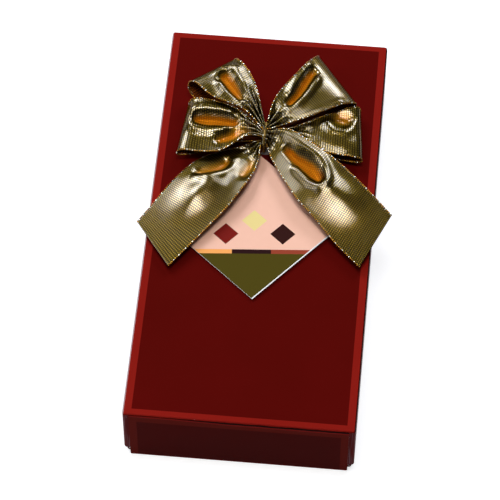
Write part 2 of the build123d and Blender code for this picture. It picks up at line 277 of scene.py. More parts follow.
def bordered_print(tree, spot):
    """A dark red field in a brighter border, which is printed deeper on the walls."""
    # How far inside the printed border a point lies, negative on the border: on the top, on the end
    # panels and on the side walls
    end_room = add(tree, "Math", {0: spot.half_length - end_border, 1: spot.along},
                   operation="SUBTRACT")
    below_border = add(tree, "Math", {0: spot.depth, 1: panel_top_border}, operation="SUBTRACT")
    rooms = []
    for limit, reach, other in (
            (spot.half_width - side_border, spot.across, end_room),
            (spot.half_width - panel_inset - panel_side_border, spot.across, below_border),
            (spot.half_length - panel_top_border, spot.along, below_border)):
        side_room = add(tree, "Math", {0: limit, 1: reach}, operation="SUBTRACT")
        rooms.append(add(tree, "Math", {0: side_room, 1: other}, operation="MINIMUM"))
    top_room, panel_room, wall_room = rooms
    walls = add(tree, "Mix", {0: spot.at_end, 2: wall_room, 3: panel_room})
    room = add(tree, "Mix", {0: spot.upright, 2: top_room, 3: walls})
    field = add(tree, "MapRange", {0: room, 1: -print_blur, 2: print_blur})
    tone = add(tree, "TexNoise", {"Vector": spot.place, "Scale": 1 / ink_cloud, "Detail": 3.0})
    dark = add(tree, "Mix", {0: tone, 6: linear("#5b0a07"), 7: linear("#520905")})
    bright = add(tree, "Mix", {0: tone, 6: linear("#8d1d15"), 7: linear("#82170f")})
    border = add(tree, "Mix", {0: spot.upright, 6: bright, 7: linear("#721a11")})
    return add(tree, "Mix", {0: field, 6: border, 7: dark})


def scored_ends(tree, spot, tall, colour):
    """The ends are scored for the fold, and light and shade are painted there: a dark uneven painted
    shade in the crease, then a line of painted highlight. A thin bright line of painted highlight runs
    along the open edge of each end panel."""
    uneven = add(tree, "TexNoise", {"Vector": spot.place, "Scale": 1 / crease_notch, "Detail": 3.0})
    uneven = add(tree, "Math", {0: uneven, 1: crease_wander, 2: -crease_wander / 2},
                 operation="MULTIPLY_ADD")
    crease_depth = add(tree, "Math", {0: spot.depth, 1: uneven}, operation="ADD")
    creased = add(tree, "MapRange", {0: crease_depth, 1: crease_start, 2: crease_start + crease_blur})
    # The painted shade of the crease is wider towards the right
    shade_end = add(tree, "MapRange", {
        0: spot.x, 1: spot.half_width * shade_widening_start_share, 2: spot.half_width * shade_widening_end_share,
        3: crease_end_left, 4: crease_end_right})
    past = add(tree, "Math", {0: crease_depth, 1: shade_end}, operation="GREATER_THAN")
    highlight_end = add(tree, "Math", {0: shade_end, 1: highlight_line_width}, operation="ADD")
    ended = add(tree, "Math", {0: spot.depth, 1: highlight_end}, operation="GREATER_THAN")
    # Painted shade in the crease, then a painted highlight below it
    line = add(tree, "Mix", {0: past, 6: linear("#240404"), 7: linear("#a3201a")})
    in_shade_and_highlight = add(tree, "Math", {0: creased, 1: ended}, operation="SUBTRACT", use_clamp=True)
    in_shade_and_highlight = add(tree, "Math", {0: in_shade_and_highlight, 1: spot.over_end}, operation="MULTIPLY")
    colour = add(tree, "Mix", {0: in_shade_and_highlight, 6: colour, 7: line})
    # A painted highlight along the open edge of each end panel
    at_rim = add(tree, "Math", {0: spot.depth, 1: tall - rim_highlight_width}, operation="GREATER_THAN")
    at_rim = add(tree, "Math", {0: at_rim, 1: spot.over_end}, operation="MULTIPLY")
    return add(tree, "Mix", {0: at_rim, 6: colour, 7: linear("#b8352c")})


def folds_and_tabs(tree, spot, colour):
    """The fold along the left side is painted pale, as rubbing and a painted highlight, and the one along
    the right side is painted dark as painted shade. The corner tabs are duller, with rubbed streaks down
    the fold."""
    streak_start, streak_full = 0.50, 0.72
    fold_start = spot.half_width - fold_line_width
    on_fold = add(tree, "Math", {0: spot.across, 1: fold_start}, operation="GREATER_THAN")
    shallow = add(tree, "Math", {0: spot.depth, 1: fold_line_width}, operation="LESS_THAN")
    on_fold = add(tree, "Math", {0: on_fold, 1: shallow}, operation="MULTIPLY")
    # Painted highlight and rubbing on the left fold, painted shade on the right one
    right_side = add(tree, "Math", {0: spot.x, 1: 0.0}, operation="GREATER_THAN")
    fold_highlight_and_shade = add(tree, "Mix", {0: right_side, 6: linear("#b09492"), 7: linear("#200303")})
    colour = add(tree, "Mix", {0: on_fold, 6: colour, 7: fold_highlight_and_shade})
    tab_start = spot.half_width - panel_inset
    tab = add(tree, "Math", {0: spot.across, 1: tab_start}, operation="GREATER_THAN")
    tab = add(tree, "Math", {0: tab, 1: spot.at_end}, operation="MULTIPLY")
    tab = add(tree, "Math", {0: tab, 1: spot.upright}, operation="MULTIPLY")
    stretch = add(tree, "Mapping", {
        "Vector": spot.place, "Scale": (1 / streak_width, 1 / streak_width, 1 / streak_length)})
    streak = add(tree, "TexNoise", {"Vector": stretch, "Scale": 1.0, "Detail": 2.0})
    streak = add(tree, "MapRange", {0: streak, 1: streak_start, 2: streak_full})
    tab_tone = add(tree, "Mix", {0: streak, 6: linear("#6a1f20"), 7: linear("#8f6a70")})
    return add(tree, "Mix", {0: tab, 6: colour, 7: tab_tone})


def bare_board(tree, spot):
    """Where no print covers the board: on its rubbed folds, its cut edges and its inside."""
    wear_start, wear_full, wear_most = 0.36, 0.46, 0.45
    edge = add(tree, "Math", {0: spot.side_edge, 1: spot.end_edge}, operation="MINIMUM")
    edge = add(tree, "Math", {0: edge, 1: spot.depth}, operation="MAXIMUM")
    near_edge = add(tree, "MapRange", {0: edge, 1: rub_reach, 2: rub_full})
    wear = add(tree, "TexNoise", {
        "Vector": spot.place, "Scale": 1 / rub_grain, "Detail": 4.0, "Roughness": 0.7})
    patches = add(tree, "TexNoise", {"Vector": spot.place, "Scale": 1 / rub_patch, "Detail": 1.0})
    wear = add(tree, "Math", {0: wear, 1: patches}, operation="MULTIPLY")
    wear = add(tree, "MapRange", {0: wear, 1: wear_start, 2: wear_full, 4: wear_most})
    rubbed = add(tree, "Math", {0: wear, 1: near_edge}, operation="MULTIPLY")
    # Cut edges of the end panels: in the outermost layer, past the fold, and not facing the end
    normal = add(tree, "SeparateXYZ", {0: add(tree, "NewGeometry").outputs["Normal"]})
    cut = add(tree, "Math", {0: normal.outputs["Y"]}, operation="ABSOLUTE")
    cut = add(tree, "Math", {0: cut, 1: facing_share}, operation="LESS_THAN")
    panel_start = spot.half_length - board * past_share
    for reach, limit in ((spot.along, panel_start), (spot.depth, fold_radius)):
        beyond = add(tree, "Math", {0: reach, 1: limit}, operation="GREATER_THAN")
        cut = add(tree, "Math", {0: cut, 1: beyond}, operation="MULTIPLY")
    inside = add(tree, "Math", {0: spot.side_edge, 1: board * short_share}, operation="GREATER_THAN")
    for reach, limit in ((spot.end_edge, 2 * board * past_share), (spot.depth, board * short_share)):
        beyond = add(tree, "Math", {0: reach, 1: limit}, operation="GREATER_THAN")
        inside = add(tree, "Math", {0: inside, 1: beyond}, operation="MULTIPLY")
    bare = add(tree, "Math", {0: cut, 1: inside}, operation="MAXIMUM")
    return add(tree, "Math", {0: bare, 1: rubbed}, operation="MAXIMUM")


def laminated_board(name, top, tall, half_width, half_length, outside_up):
    """Folding board, offset printed and gloss laminated: a dark red field in a brighter red border.
    The film gives a smooth satin gloss, and the white core shows where the board is cut or rubbed."""
    film_roughness, core_roughness = 0.30, 0.75
    made, tree, shader = new_material(name, IOR=1.45, Specular_IOR_Level=0.008)
    spot = find_spot(tree, top, half_width, half_length, outside_up)
    colour = bordered_print(tree, spot)
    colour = scored_ends(tree, spot, tall, colour)
    colour = folds_and_tabs(tree, spot, colour)
    bare = bare_board(tree, spot)
    fibre = add(tree, "TexNoise", {"Vector": spot.place, "Scale": 1 / board_fibre, "Detail": 3.0})
    core_and_painted_glow = add(tree, "Mix", {0: fibre, 6: linear("#d9d0cb"), 7: linear("#f1ebe6")})
    colour = add(tree, "Mix", {0: bare, 6: colour, 7: core_and_painted_glow})
    tree.links.new(colour.outputs[2], shader.inputs["Base Color"])
    orange_peel = add(tree, "TexNoise", {"Vector": spot.place, "Scale": 1 / film_wave, "Detail": 2.0})
    bump = add(tree, "Bump", {"Strength": 0.05, "Distance": 0.0002, "Height": orange_peel})
    tree.links.new(bump.outputs[0], shader.inputs["Normal"])
    gloss = add(tree, "MapRange", {0: bare, 3: film_roughness, 4: core_roughness})
    tree.links.new(gloss.outputs[0], shader.inputs["Roughness"])
    return made


def printed_card():
    """Coated art card, offset printed in flat colours: a peach field with three small lozenges, a
    stripe of three colours and an olive corner. It is matt, and its cut edges are white."""
    made, tree, shader = new_material("coated_card", Roughness=0.42, Specular_IOR_Level=0.04)
    place = add(tree, "TexCoord").outputs["Object"]
    # The print and the card's edges are turned by different angles about the card's middle
    turned = []
    for turn in (print_turn, card_turn):
        about_middle = add(tree, "Mapping", {
            "Vector": place, "Location": (label_centre.x, label_centre.y, 0),
            "Rotation": (0, 0, math.radians(turn))}, vector_type="TEXTURE")
        turned.append(add(tree, "SeparateXYZ", {0: about_middle}).outputs)
    x, y = turned[0]["X"], turned[0]["Y"]
    grain = add(tree, "TexNoise", {"Vector": place, "Scale": 1 / card_grain, "Detail": 2.0})
    colour = add(tree, "Mix", {0: grain, 6: linear("#f7c3a8"), 7: linear("#f2bda2")})
    for (centre_x, centre_y), paint in zip(lozenge_places, lozenge_colours):
        side, rise = (add(tree, "Math", {0: value, 1: centre}, operation="SUBTRACT")
                      for value, centre in ((x, centre_x), (y, centre_y)))
        side, rise = (add(tree, "Math", {0: off}, operation="ABSOLUTE") for off in (side, rise))
        reach = add(tree, "Math", {0: side, 1: rise}, operation="ADD")
        shown = add(tree, "Math", {0: reach, 1: lozenge_size}, operation="LESS_THAN")
        colour = add(tree, "Mix", {0: shown, 6: colour, 7: linear(paint)})
    in_stripe = add(tree, "Math", {0: y, 1: stripe_top}, operation="LESS_THAN")
    past_left = add(tree, "Math", {0: x, 1: stripe_left_end}, operation="GREATER_THAN")
    past_right = add(tree, "Math", {0: x, 1: stripe_right_start}, operation="GREATER_THAN")
    below = add(tree, "Math", {0: y, 1: stripe_bottom}, operation="LESS_THAN")
    band = add(tree, "Mix", {0: past_left, 6: linear("#f9a85a"), 7: linear("#2a100f")})
    band = add(tree, "Mix", {0: past_right, 6: band, 7: linear("#98402a")})
    colour = add(tree, "Mix", {0: in_stripe, 6: colour, 7: band})
    colour = add(tree, "Mix", {0: below, 6: colour, 7: linear("#4d430c")})
    # The print stops a little short of the two trimmed edges that face the near end
    normal = add(tree, "SeparateXYZ", {0: add(tree, "NewGeometry").outputs["Normal"]})
    printed = add(tree, "Math", {0: normal.outputs["Z"], 1: facing_share}, operation="GREATER_THAN")
    for axis, bare in (("Y", bare_right), ("X", bare_left)):
        limit = bare - card_side / 2
        within = add(tree, "Math", {0: turned[1][axis], 1: limit}, operation="GREATER_THAN")
        printed = add(tree, "Math", {0: printed, 1: within}, operation="MULTIPLY")
    colour = add(tree, "Mix", {0: printed, 6: linear("#f7f4f0"), 7: colour})
    tree.links.new(colour.outputs[2], shader.inputs["Base Color"])
    bump = add(tree, "Bump", {"Strength": 0.06, "Distance": 0.0001, "Height": grain})
    tree.links.new(bump.outputs[0], shader.inputs["Normal"])
    return made


def metallised_ribbon(name, gold, deep, gap, core_and_painted_glow, painted_hollow_shade, film_share):
    """Woven ribbon: flat threads of gold metallised film under clear lacquer, which flash white.
    Weft ribs run across it, and the threads cross in turn like bricks."""
    gap_floor, gap_rim, gap_share = -0.6, 0.25, 0.9
    deepest_start, deepest_share = 0.5, 0.75
    filled_share, hollow_film_share = 0.45, 0.2
    slant_start, slant_end, slant_least = 0.35, 0.70, 0.02
    made, tree, shader = new_material(name, Roughness=0.30, Coat_Roughness=0.10, Coat_IOR=2.7,
                                      Specular_IOR_Level=0.05, Specular_Tint=linear("#5a3c10"))
    weave = add(tree, "UVMap", uv_map="weave")
    uv = add(tree, "SeparateXYZ", {0: weave})
    across, along = uv.outputs["X"], uv.outputs["Y"]
    weft = add(tree, "Math", {0: along, 1: 2 * math.pi / thread_pitch}, operation="MULTIPLY")
    weft = add(tree, "Math", {0: weft}, operation="SINE")
    # Each rib has its warp threads half a pitch beside the last one's
    rib = add(tree, "Math", {0: along, 1: 1 / thread_pitch}, operation="MULTIPLY")
    rib = add(tree, "Math", {0: rib}, operation="FLOOR")
    shift = add(tree, "Math", {0: rib, 1: math.pi}, operation="MULTIPLY")
    warp = add(tree, "Math", {0: across, 1: 2 * math.pi / warp_pitch, 2: shift},
               operation="MULTIPLY_ADD")
    warp = add(tree, "Math", {0: warp}, operation="SINE")
    woven = add(tree, "Math", {0: weft, 1: warp}, operation="ADD")
    threads = add(tree, "Mapping", {"Vector": weave, "Scale": (1 / slub_length, 1 / slub_width, 1)})
    slub = add(tree, "TexNoise", {"Vector": threads, "Scale": 1.0, "Detail": 1.0})
    base = add(tree, "Mix", {0: slub, 6: linear(gold), 7: linear(deep)})
    # Painted light: where the cloth sinks into a hollow, and on the back layers of a loop, its colour
    # turns to a painted amber glow that stands in for light bounced between the gold folds
    hollow = add(tree, "Attribute", attribute_name="hollow").outputs["Fac"]
    base = add(tree, "Mix", {0: hollow, 6: base, 7: linear(core_and_painted_glow)})
    # Painted shade where the hollow is deepest
    deepest = add(tree, "MapRange", {0: hollow, 1: deepest_start, 2: 1.0, 4: deepest_share})
    base = add(tree, "Mix", {0: deepest, 6: base, 7: linear(painted_hollow_shade)})
    # Dark gaps between the threads, which the painted amber glow half fills in a hollow
    between_weft, between_warp = (
        add(tree, "MapRange", {0: wave, 1: gap_floor, 2: gap_rim, 3: gap_share, 4: 0.0})
        for wave in (weft, warp))
    sunk = add(tree, "Math", {0: between_weft, 1: between_warp}, operation="MAXIMUM")
    filled = add(tree, "MapRange", {0: hollow, 3: 1.0, 4: filled_share})
    open_gap = add(tree, "Math", {0: sunk, 1: filled}, operation="MULTIPLY")
    base = add(tree, "Mix", {0: open_gap, 6: base, 7: linear(gap)})
    tree.links.new(base.outputs[2], shader.inputs["Base Color"])
    # In a hollow the film and its lacquer fade out, so that the painted glow shows as a flat colour
    film = add(tree, "MapRange", {0: hollow, 3: film_share, 4: film_share * hollow_film_share})
    tree.links.new(film.outputs[0], shader.inputs["Metallic"])
    bare = add(tree, "Math", {0: sunk, 1: hollow}, operation="MAXIMUM")
    lacquer = add(tree, "MapRange", {0: bare, 3: film_share, 4: 0.0})
    # Seen along the cloth, the ribs hide the lacquered faces of the threads behind them
    slant = add(tree, "LayerWeight", {"Blend": 0.5}).outputs["Facing"]
    slant = add(tree, "MapRange", {
        0: slant, 1: slant_start, 2: slant_end, 3: 1.0, 4: slant_least})
    lacquer = add(tree, "Math", {0: lacquer, 1: slant}, operation="MULTIPLY")
    tree.links.new(lacquer.outputs[0], shader.inputs["Coat Weight"])
    bump = add(tree, "Bump", {"Strength": 1.0, "Distance": thread_relief, "Height": woven})
    tree.links.new(bump.outputs[0], shader.inputs["Normal"])
    tree.links.new(bump.outputs[0], shader.inputs["Coat Normal"])
    return made


def beaded_edging():
    """Wrapped edge wire: gold, black and silver threads follow each other like small beads."""
    silver_above, dark_part = 0.6, 0.45
    made, tree, shader = new_material("wrapped_edge_wire", Metallic=0.9, Roughness=0.25)
    weave = add(tree, "UVMap", uv_map="weave")
    uv = add(tree, "SeparateXYZ", {0: weave})
    turns = add(tree, "Math", {0: uv.outputs["Y"], 1: 1 / bead_pitch}, operation="MULTIPLY")
    number = add(tree, "Math", {0: turns}, operation="FLOOR")
    share = add(tree, "Math", {0: turns}, operation="FRACT")
    pick = add(tree, "TexWhiteNoise", {"W": number}, noise_dimensions="1D")
    silver = add(tree, "Math", {0: pick, 1: silver_above}, operation="GREATER_THAN")
    bead = add(tree, "Mix", {0: silver, 6: linear("#b07a1e"), 7: linear("#e9e2cc")})
    dark = add(tree, "Math", {0: share, 1: dark_part}, operation="LESS_THAN")
    colour = add(tree, "Mix", {0: dark, 6: bead, 7: linear("#1c1508")})
    tree.links.new(colour.outputs[2], shader.inputs["Base Color"])
    return made


def mottle(made, tree, shader, pattern, low, high, strength=0, distance=0):
    """Colours a material from low to high by a pattern, and gives its surface the same relief."""
    colour = add(tree, "Mix", {0: pattern, 6: linear(low), 7: linear(high)})
    tree.links.new(colour.outputs[2], shader.inputs["Base Color"])
    if strength:
        bump = add(tree, "Bump", {"Strength": strength, "Distance": distance, "Height": pattern})
        tree.links.new(bump.outputs[0], shader.inputs["Normal"])
    return made


def twisted_cord():
    """Twisted cord: bright gold metallised yarn with fine filaments laid at an angle."""
    made, tree, shader = new_material("gold_cord_yarn", Metallic=1.0, Roughness=0.30)
    weave = add(tree, "UVMap", uv_map="weave")
    fine = add(tree, "Mapping", {
        "Vector": weave, "Scale": (1 / filament_width, 1 / filament_length, 1)})
    filament = add(tree, "TexNoise", {"Vector": fine, "Scale": 1.0, "Detail": 2.0})
    return mottle(made, tree, shader, filament, "#4a3a14", "#9a7c42",
                  strength=0.5, distance=0.00005)


def chocolate(name, light, dark):
    """Moulded chocolate: tempered and smooth, with a soft satin gloss and faint bloom."""
    made, tree, shader = new_material(name, Roughness=0.34, IOR=1.46)
    place = add(tree, "TexCoord").outputs["Object"]
    cloud = add(tree, "TexNoise", {"Vector": place, "Scale": 1 / bloom_cloud, "Detail": 4.0})
    mottle(made, tree, shader, cloud, dark, light)
    speck = add(tree, "TexNoise", {"Vector": place, "Scale": 1 / chocolate_speck, "Detail": 2.0})
    bump = add(tree, "Bump", {"Strength": 0.12, "Distance": 0.0002, "Height": speck})
    tree.links.new(bump.outputs[0], shader.inputs["Normal"])
    return made


def thermoformed_tray():
    """Vacuum-formed polystyrene sheet in gold brown: glossy, faintly wavy from the mould."""
    made, tree, shader = new_material("formed_polystyrene", Metallic=0.35, Roughness=0.26, IOR=1.59)
    place = add(tree, "TexCoord").outputs["Object"]
    wave = add(tree, "TexNoise", {"Vector": place, "Scale": 1 / mould_wave, "Detail": 2.0})
    return mottle(made, tree, shader, wave, "#8a6a34", "#a5834a",
                  strength=0.15, distance=0.0004)


def crepe_paper():
    """Embossed cushion paper: soft brown crepe, matt, with fine creases."""
    made, tree, shader = new_material("crepe_cushion_paper", Roughness=0.8)
    place = add(tree, "TexCoord").outputs["Object"]
    crease = add(tree, "Mapping", {
        "Vector": place, "Scale": (1 / crepe_width, 1 / crepe_length, 1 / crepe_width)})
    crease = add(tree, "TexNoise", {"Vector": crease, "Scale": 1.0, "Detail": 3.0})
    return mottle(made, tree, shader, crease, "#4a2a1c", "#6a4230",
                  strength=0.4, distance=0.0002)


def dry_glue():
    """Hot-melt glue, set: milky and slightly clouded."""
    made, tree, shader = new_material("set_hot_melt", Roughness=0.4, Transmission_Weight=0.2)
    place = add(tree, "TexCoord").outputs["Object"]
    ripple = add(tree, "TexNoise", {"Vector": place, "Scale": 1 / glue_ripple, "Detail": 2.0})
    return mottle(made, tree, shader, ripple, "#d8c9a4", "#ece2c8")


def foam():
    """Closed-cell polyethylene foam: white, matt, with fine cells."""
    made, tree, shader = new_material("polyethylene_foam", Roughness=0.85)
    place = add(tree, "TexCoord").outputs["Object"]
    cells = add(tree, "TexVoronoi", {"Vector": place, "Scale": 1 / foam_cell})
    return mottle(made, tree, shader, cells, "#d9d6d0", "#f4f2ee",
                  strength=0.4, distance=0.0001)


# Camera, light and floor

def make_camera():
    """Camera at the photograph's viewing angle."""
    bpy.ops.object.camera_add(location=camera_place)
    camera = bpy.context.object
    camera.rotation_mode = "ZYX"
    camera.rotation_euler = [math.radians(turn) for turn in camera_turn]
    camera.data.lens = camera_lens
    bpy.context.scene.camera = camera


def make_lamp(name, place, size, level, colour):
    """Flat softbox whose face shows with the given level and colour, aimed at the box."""
    bpy.ops.object.light_add(type="AREA", location=place)
    lamp = bpy.context.object
    lamp.name = name
    lamp.rotation_euler = (Vector(lamp_aim) - Vector(place)).to_track_quat("-Z", "Y").to_euler()
    lamp.data.shape = "RECTANGLE"
    lamp.data.size, lamp.data.size_y = size
    lamp.data.energy = level * math.pi * size[0] * size[1]
    lamp.data.color = colour


def make_world():
    """Studio walls: pale near the floor, darker above and towards the right."""
    world = bpy.data.worlds.new("studio")
    bpy.context.scene.world = world
    world.use_nodes = True
    tree = world.node_tree
    direction = add(tree, "SeparateXYZ", {0: add(tree, "TexCoord").outputs["Generated"]})
    ramp = add(tree, "ValToRGB", {0: direction.outputs["Z"]})
    elements = ramp.color_ramp.elements
    elements[0].position, elements[1].position = wall_stops[0][0], wall_stops[-1][0]
    for position, _ in wall_stops[1:-1]:
        elements.new(position)
    for element, (position, grey) in zip(elements, wall_stops):
        element.color = (grey, grey, grey, 1)
    background = tree.nodes["Background"]
    tree.links.new(ramp.outputs[0], background.inputs["Color"])
    shade = add(tree, "MapRange", {0: direction.outputs["X"], 1: darkening_start, 2: darkening_end,
                                   3: 1.0, 4: far_wall_share})
    tree.links.new(shade.outputs[0], background.inputs["Strength"])


def make_floor():
    """Pale studio floor. It keeps its shadows, and seen by the camera or in a mirror it is near white."""
    bpy.ops.mesh.primitive_plane_add(size=room_size)
    floor = bpy.context.object
    floor.name = "floor"
    made = bpy.data.materials.new("pale_floor_paint")
    made.use_nodes = True
    tree = made.node_tree
    tree.nodes.clear()
    rays = add(tree, "LightPath")
    seen = rays.outputs["Is Camera Ray"]
    for kind in ("Is Glossy Ray", "Is Transmission Ray"):
        seen = add(tree, "Math", {0: seen, 1: rays.outputs[kind]}, operation="MAXIMUM")
    paint = add(tree, "BsdfDiffuse", {"Color": linear(floor_albedo)})
    glow = add(tree, "Emission", {"Strength": floor_glow})
    bright = add(tree, "AddShader", {0: paint, 1: glow})
    mixed = add(tree, "MixShader", {0: seen, 1: paint, 2: bright})
    add(tree, "OutputMaterial", {0: mixed})
    dress([floor], made)


# Ribbon lengths: points on both edges, as shares of the ribbon's width, from the tie outwards. A loop
# runs out, folds over and comes back below to the tie; a tail ends in its cut. Each row holds the left
# edge's x, y, z and then the right edge's.
upper_left_shares = [
    (0, 0.168, 0.232, 0, 0.064, 0.232),
    (-0.11, 0.58, 0.38, -0.30, 0.36, 0.34),
    (-0.225, 0.92, 0.42, -0.60, 0.49, 0.38),
    (-0.375, 1.20, 0.40, -0.88, 0.61, 0.38),
    (-0.53, 1.39, 0.36, -1.17, 0.85, 0.38),
    (-0.60, 1.46, 0.24, -1.29, 0.92, 0.26),
    (-0.585, 1.41, 0.12, -1.26, 0.83, 0.12),
    (-0.45, 1.18, 0.08, -1.02, 0.63, 0.08),
    (-0.24, 0.70, 0.08, -0.46, 0.40, 0.08),
    (0, 0.168, 0.088, 0, 0.064, 0.088),
]
lower_left_shares = [
    (0, 0.040, 0.224, 0, -0.040, 0.224),
    (-0.32, 0.36, 0.26, -0.28, -0.05, 0.24),
    (-0.64, 0.52, 0.28, -0.64, -0.34, 0.22),
    (-0.96, 0.59, 0.29, -0.98, -0.39, 0.20),
    (-1.16, 0.60, 0.27, -1.25, -0.38, 0.20),
    (-1.25, 0.59, 0.18, -1.345, -0.39, 0.15),
    (-1.21, 0.56, 0.10, -1.31, -0.42, 0.10),
    (-0.88, 0.46, 0.09, -0.95, -0.32, 0.09),
    (-0.40, 0.20, 0.09, -0.40, -0.05, 0.09),
    (0, 0.040, 0.096, 0, -0.030, 0.096),
]
upper_right_shares = [
    (0, 0.172, 0.232, 0, 0.080, 0.232),
    (0.04, 0.50, 0.38, 0.34, 0.224, 0.30),
    (0.155, 0.785, 0.42, 0.62, 0.33, 0.35),
    (0.365, 1.10, 0.43, 0.92, 0.49, 0.37),
    (0.575, 1.45, 0.38, 1.22, 0.66, 0.36),
    (0.70, 1.65, 0.26, 1.375, 0.75, 0.26),
    (0.67, 1.57, 0.12, 1.32, 0.73, 0.14),
    (0.42, 1.16, 0.09, 0.96, 0.54, 0.12),
    (0.18, 0.62, 0.08, 0.48, 0.33, 0.10),
    (0, 0.172, 0.080, 0, 0.080, 0.080),
]
lower_right_shares = [
    (0, 0.060, 0.160, 0, -0.064, 0.160),
    (0.36, 0.21, 0.20, 0.32, 0.02, 0.16),
    (0.68, 0.355, 0.224, 0.66, -0.12, 0.16),
    (1.04, 0.54, 0.25, 1.04, -0.23, 0.17),
    (1.34, 0.69, 0.24, 1.40, -0.26, 0.17),
    (1.45, 0.71, 0.17, 1.535, -0.26, 0.13),
    (1.41, 0.67, 0.09, 1.49, -0.29, 0.07),
    (1.00, 0.43, 0.06, 1.04, -0.21, 0.06),
    (0.44, 0.176, 0.06, 0.44, -0.048, 0.06),
    (0, 0.060, 0.080, 0, -0.064, 0.080),
]
left_tail_shares = [
    (0, -0.064, 0.12, 0, -0.168, 0.12),
    (-0.32, -0.13, 0.035, -0.03, -0.43, 0.128),
    (-0.68, -0.26, 0.035, -0.11, -0.74, 0.168),
    (-1.04, -0.52, 0.088, -0.235, -1.04, 0.19),
    (-1.35, -0.96, 0.14, -0.47, -1.46, 0.18),
    (-1.63, -1.42, 0.104, -0.86, -2.00, 0.12),
    (-1.845, -1.78, 0.08, -1.27, -2.56, 0.064),
]
right_tail_shares = [
    (0, 0.056, 0.248, 0, -0.168, 0.248),
    (0.33, 0.10, 0.28, 0.10, -0.40, 0.18),
    (0.64, -0.09, 0.31, 0.32, -0.78, 0.184),
    (1.00, -0.33, 0.31, 0.58, -1.18, 0.20),
    (1.39, -0.66, 0.28, 0.88, -1.50, 0.17),
    (1.77, -1.02, 0.224, 1.27, -1.94, 0.112),
    (2.10, -1.37, 0.20, 1.66, -2.32, 0.088),
]

# Folds of each ribbon length: how high a ridge stands in metres, or how deep a hollow lies where the
# value is negative, and the points that it runs through. A point is a row, a share of the way from the
# left edge to the right one, and how far the fold spreads to each side, as a share of the ribbon's width.
# A fold that fades along its way also has a share of its height at each point.
upper_left_folds = [
    (0.0014, ((0.8, 0.84, 0.08), (1.6, 0.82, 0.09), (2.6, 0.74, 0.09), (3.2, 0.68, 0.07))),
    (-0.0028, ((3.5, 0.46, 0.075), (3.0, 0.51, 0.106), (2.4, 0.59, 0.094), (1.8, 0.68, 0.062))),
    (0.0012, ((3.4, 0.18, 0.09), (2.8, 0.26, 0.09), (2.2, 0.28, 0.08), (1.6, 0.38, 0.07),
              (1.0, 0.48, 0.05))),
    (0.0008, ((3.8, 0.54, 0.06), (3.9, 0.38, 0.06))),
]
lower_left_folds = [
    (-0.0028, ((3.5, 0.38, 0.075), (2.8, 0.37, 0.112), (2.1, 0.35, 0.10), (1.5, 0.37, 0.062))),
    (0.0012, ((3.8, 0.20, 0.08), (2.8, 0.16, 0.08), (1.8, 0.15, 0.07))),
    (0.0012, ((3.6, 0.57, 0.07), (2.8, 0.58, 0.08), (2.0, 0.54, 0.06))),
    (0.0008, ((3.95, 0.30, 0.06), (3.95, 0.48, 0.06))),
    (-0.0020, ((2.1, 0.74, 0.075), (1.5, 0.74, 0.10), (0.9, 0.68, 0.075))),
]
upper_right_folds = [
    (-0.0026, ((3.7, 0.18, 0.062), (3.1, 0.26, 0.075), (2.5, 0.37, 0.069), (1.9, 0.42, 0.062))),
    (0.0010, ((3.8, 0.04, 0.07), (3.0, 0.09, 0.07), (2.3, 0.20, 0.06))),
    (0.0013, ((3.6, 0.36, 0.07), (3.0, 0.45, 0.08), (2.2, 0.53, 0.08), (1.2, 0.56, 0.06))),
    (0.0008, ((1.2, 0.88, 0.07), (2.4, 0.90, 0.08), (3.8, 0.94, 0.07))),
]
lower_right_folds = [
    (-0.0016, ((3.3, 0.16, 0.125), (3.6, 0.24, 0.138))),
    (0.0008, ((2.7, 0.26, 0.07), (3.0, 0.44, 0.08), (3.6, 0.52, 0.08), (4.0, 0.34, 0.07))),
    (0.0012, ((1.2, 0.55, 0.16), (2.2, 0.66, 0.22), (3.4, 0.76, 0.26))),
]
left_tail_folds = [
    (-0.0019, ((3.3, 0.20, 0.062), (3.0, 0.31, 0.10), (2.6, 0.38, 0.106), (2.2, 0.34, 0.075))),
    (0.0010, ((3.6, 0.24, 0.06), (3.35, 0.42, 0.07), (2.9, 0.55, 0.07), (2.4, 0.54, 0.07),
              (1.9, 0.42, 0.05))),
    (-0.0014, ((1.4, 0.78, 0.075), (1.9, 0.84, 0.10), (2.3, 0.84, 0.075))),
    (0.0027, ((3.0, 0.50, 0.16, 0.2), (3.5, 0.50, 0.21, 1.0), (4.1, 0.48, 0.21, 0.8),
              (4.7, 0.46, 0.22, 0.0))),
]
right_tail_folds = [
    (0.0018, ((0.6, 0.10, 0.07), (1.3, 0.15, 0.09), (2.1, 0.14, 0.09), (2.8, 0.15, 0.09),
              (3.2, 0.22, 0.08), (3.5, 0.34, 0.07), (3.6, 0.46, 0.06))),
    (0.0012, ((3.5, 0.58, 0.06), (3.0, 0.65, 0.07), (2.3, 0.65, 0.07))),
    (-0.0030, ((3.3, 0.45, 0.075), (2.9, 0.42, 0.119), (2.5, 0.43, 0.106), (2.0, 0.47, 0.075),
              (1.5, 0.47, 0.062))),
    (0.0022, ((3.3, 0.60, 0.20, 0.2), (3.8, 0.50, 0.26, 1.0), (4.3, 0.46, 0.28, 0.8),
              (4.9, 0.44, 0.26, 0.0))),
]


def catmull_rom(before, start, end, after, share):
    """Value at a share of the way from start to end on a smooth curve through all four."""
    bend = (end - before) * share + (2 * before - 5 * start + 4 * end - after) * share ** 2
    return start + (bend + (3 * start - before - 3 * end + after) * share ** 3) / 2


def row_at(shares, place):
    """The row of a table at a place between its rows."""
    last = len(shares) - 1
    number = min(int(place), last - 1)
    near = [shares[min(max(number + step, 0), last)] for step in (-1, 0, 1, 2)]
    return [catmull_rom(*values, place - number) for values in zip(*near)]


def smooth_step(value):
    """Eases values in and out between 0 and 1."""
    share = numpy.clip(value, 0, 1)
    return share * share * (3 - 2 * share)


